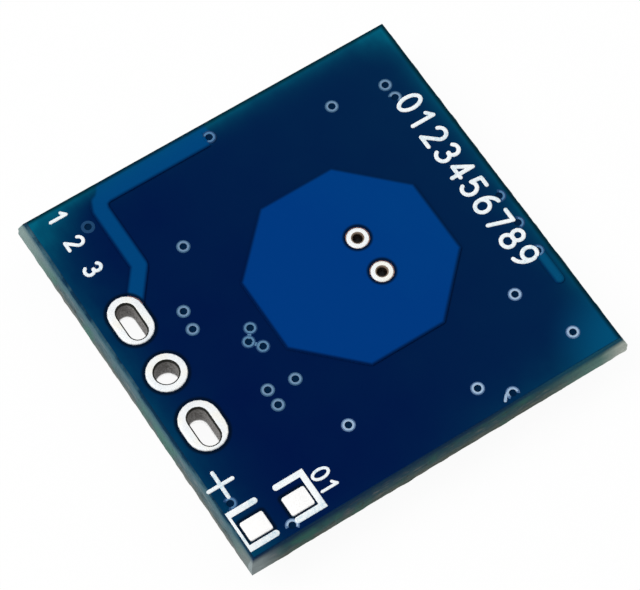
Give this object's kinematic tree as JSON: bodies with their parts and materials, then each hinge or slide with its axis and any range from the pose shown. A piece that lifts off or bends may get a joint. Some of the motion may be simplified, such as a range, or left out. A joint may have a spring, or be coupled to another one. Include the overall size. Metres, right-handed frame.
{
  "type": "microwave radar sensor module",
  "caption": "Square circuit board with an octagonal patch antenna on its face, a row of plated pin holes, and the radar circuit on its back.",
  "frame": {"origin": "on the surface that the module lies on, under the middle of the board", "axes": "+Z out of the antenna face, +X along the row of pin holes from the supply pin to the ground pin, +Y from the pin edge to the far edge"},
  "size_m": [0.0162, 0.0162, 0.0027],
  "materials": {
    "laminate": "snapped glass-epoxy laminate, rough",
    "solder_mask": "dark blue solder mask, satin",
    "copper": "copper foil under the mask",
    "tin": "tinned copper, bright",
    "moulding": "black epoxy moulding",
    "capacitor": "tan ceramic with tinned ends",
    "resistor": "black glaze over white alumina with tinned ends"
  },
  "bodies": {
    "root": {"board_laminate": "laminate", "front_mask": "solder_mask", "back_mask": "solder_mask", "antenna_patch": "copper", "supply_track": "copper", "edge_track": "copper", "feed_track_left": "copper", "feed_track_right": "copper", "output_track": "copper", "supply_track_back": "copper", "led_pad_1": "tin", "led_pad_2": "tin", "pin_eyelet_1": "tin", "pin_eyelet_2": "tin", "pin_eyelet_3": "tin", "feed_eyelet_left": "tin", "feed_eyelet_right": "tin", "via_01": "tin", "via_02": "tin", "via_03": "tin", "via_04": "tin", "via_05": "tin", "via_06": "tin", "via_07": "tin", "via_08": "tin", "via_09": "tin", "via_10": "tin", "via_11": "tin", "via_12": "tin", "via_13": "tin", "via_14": "tin", "via_15": "tin", "via_16": "tin", "via_17": "tin", "via_18": "tin", "via_19": "tin", "via_20": "tin", "via_21": "tin", "via_22": "tin", "via_23": "tin", "via_24": "tin", "radar_chip": "moulding", "regulator_body": "moulding", "regulator_lead_1": "tin", "regulator_lead_2": "tin", "regulator_lead_3": "tin", "large_capacitor_1": "capacitor", "large_capacitor_2": "capacitor", "large_capacitor_3": "capacitor", "small_capacitor_1": "capacitor", "small_capacitor_2": "capacitor", "small_capacitor_3": "capacitor", "small_capacitor_4": "capacitor", "small_capacitor_5": "capacitor", "small_resistor_1": "resistor", "small_resistor_2": "resistor", "small_resistor_3": "resistor", "small_resistor_4": "resistor", "small_resistor_5": "resistor"}
  },
  "joints": []
}
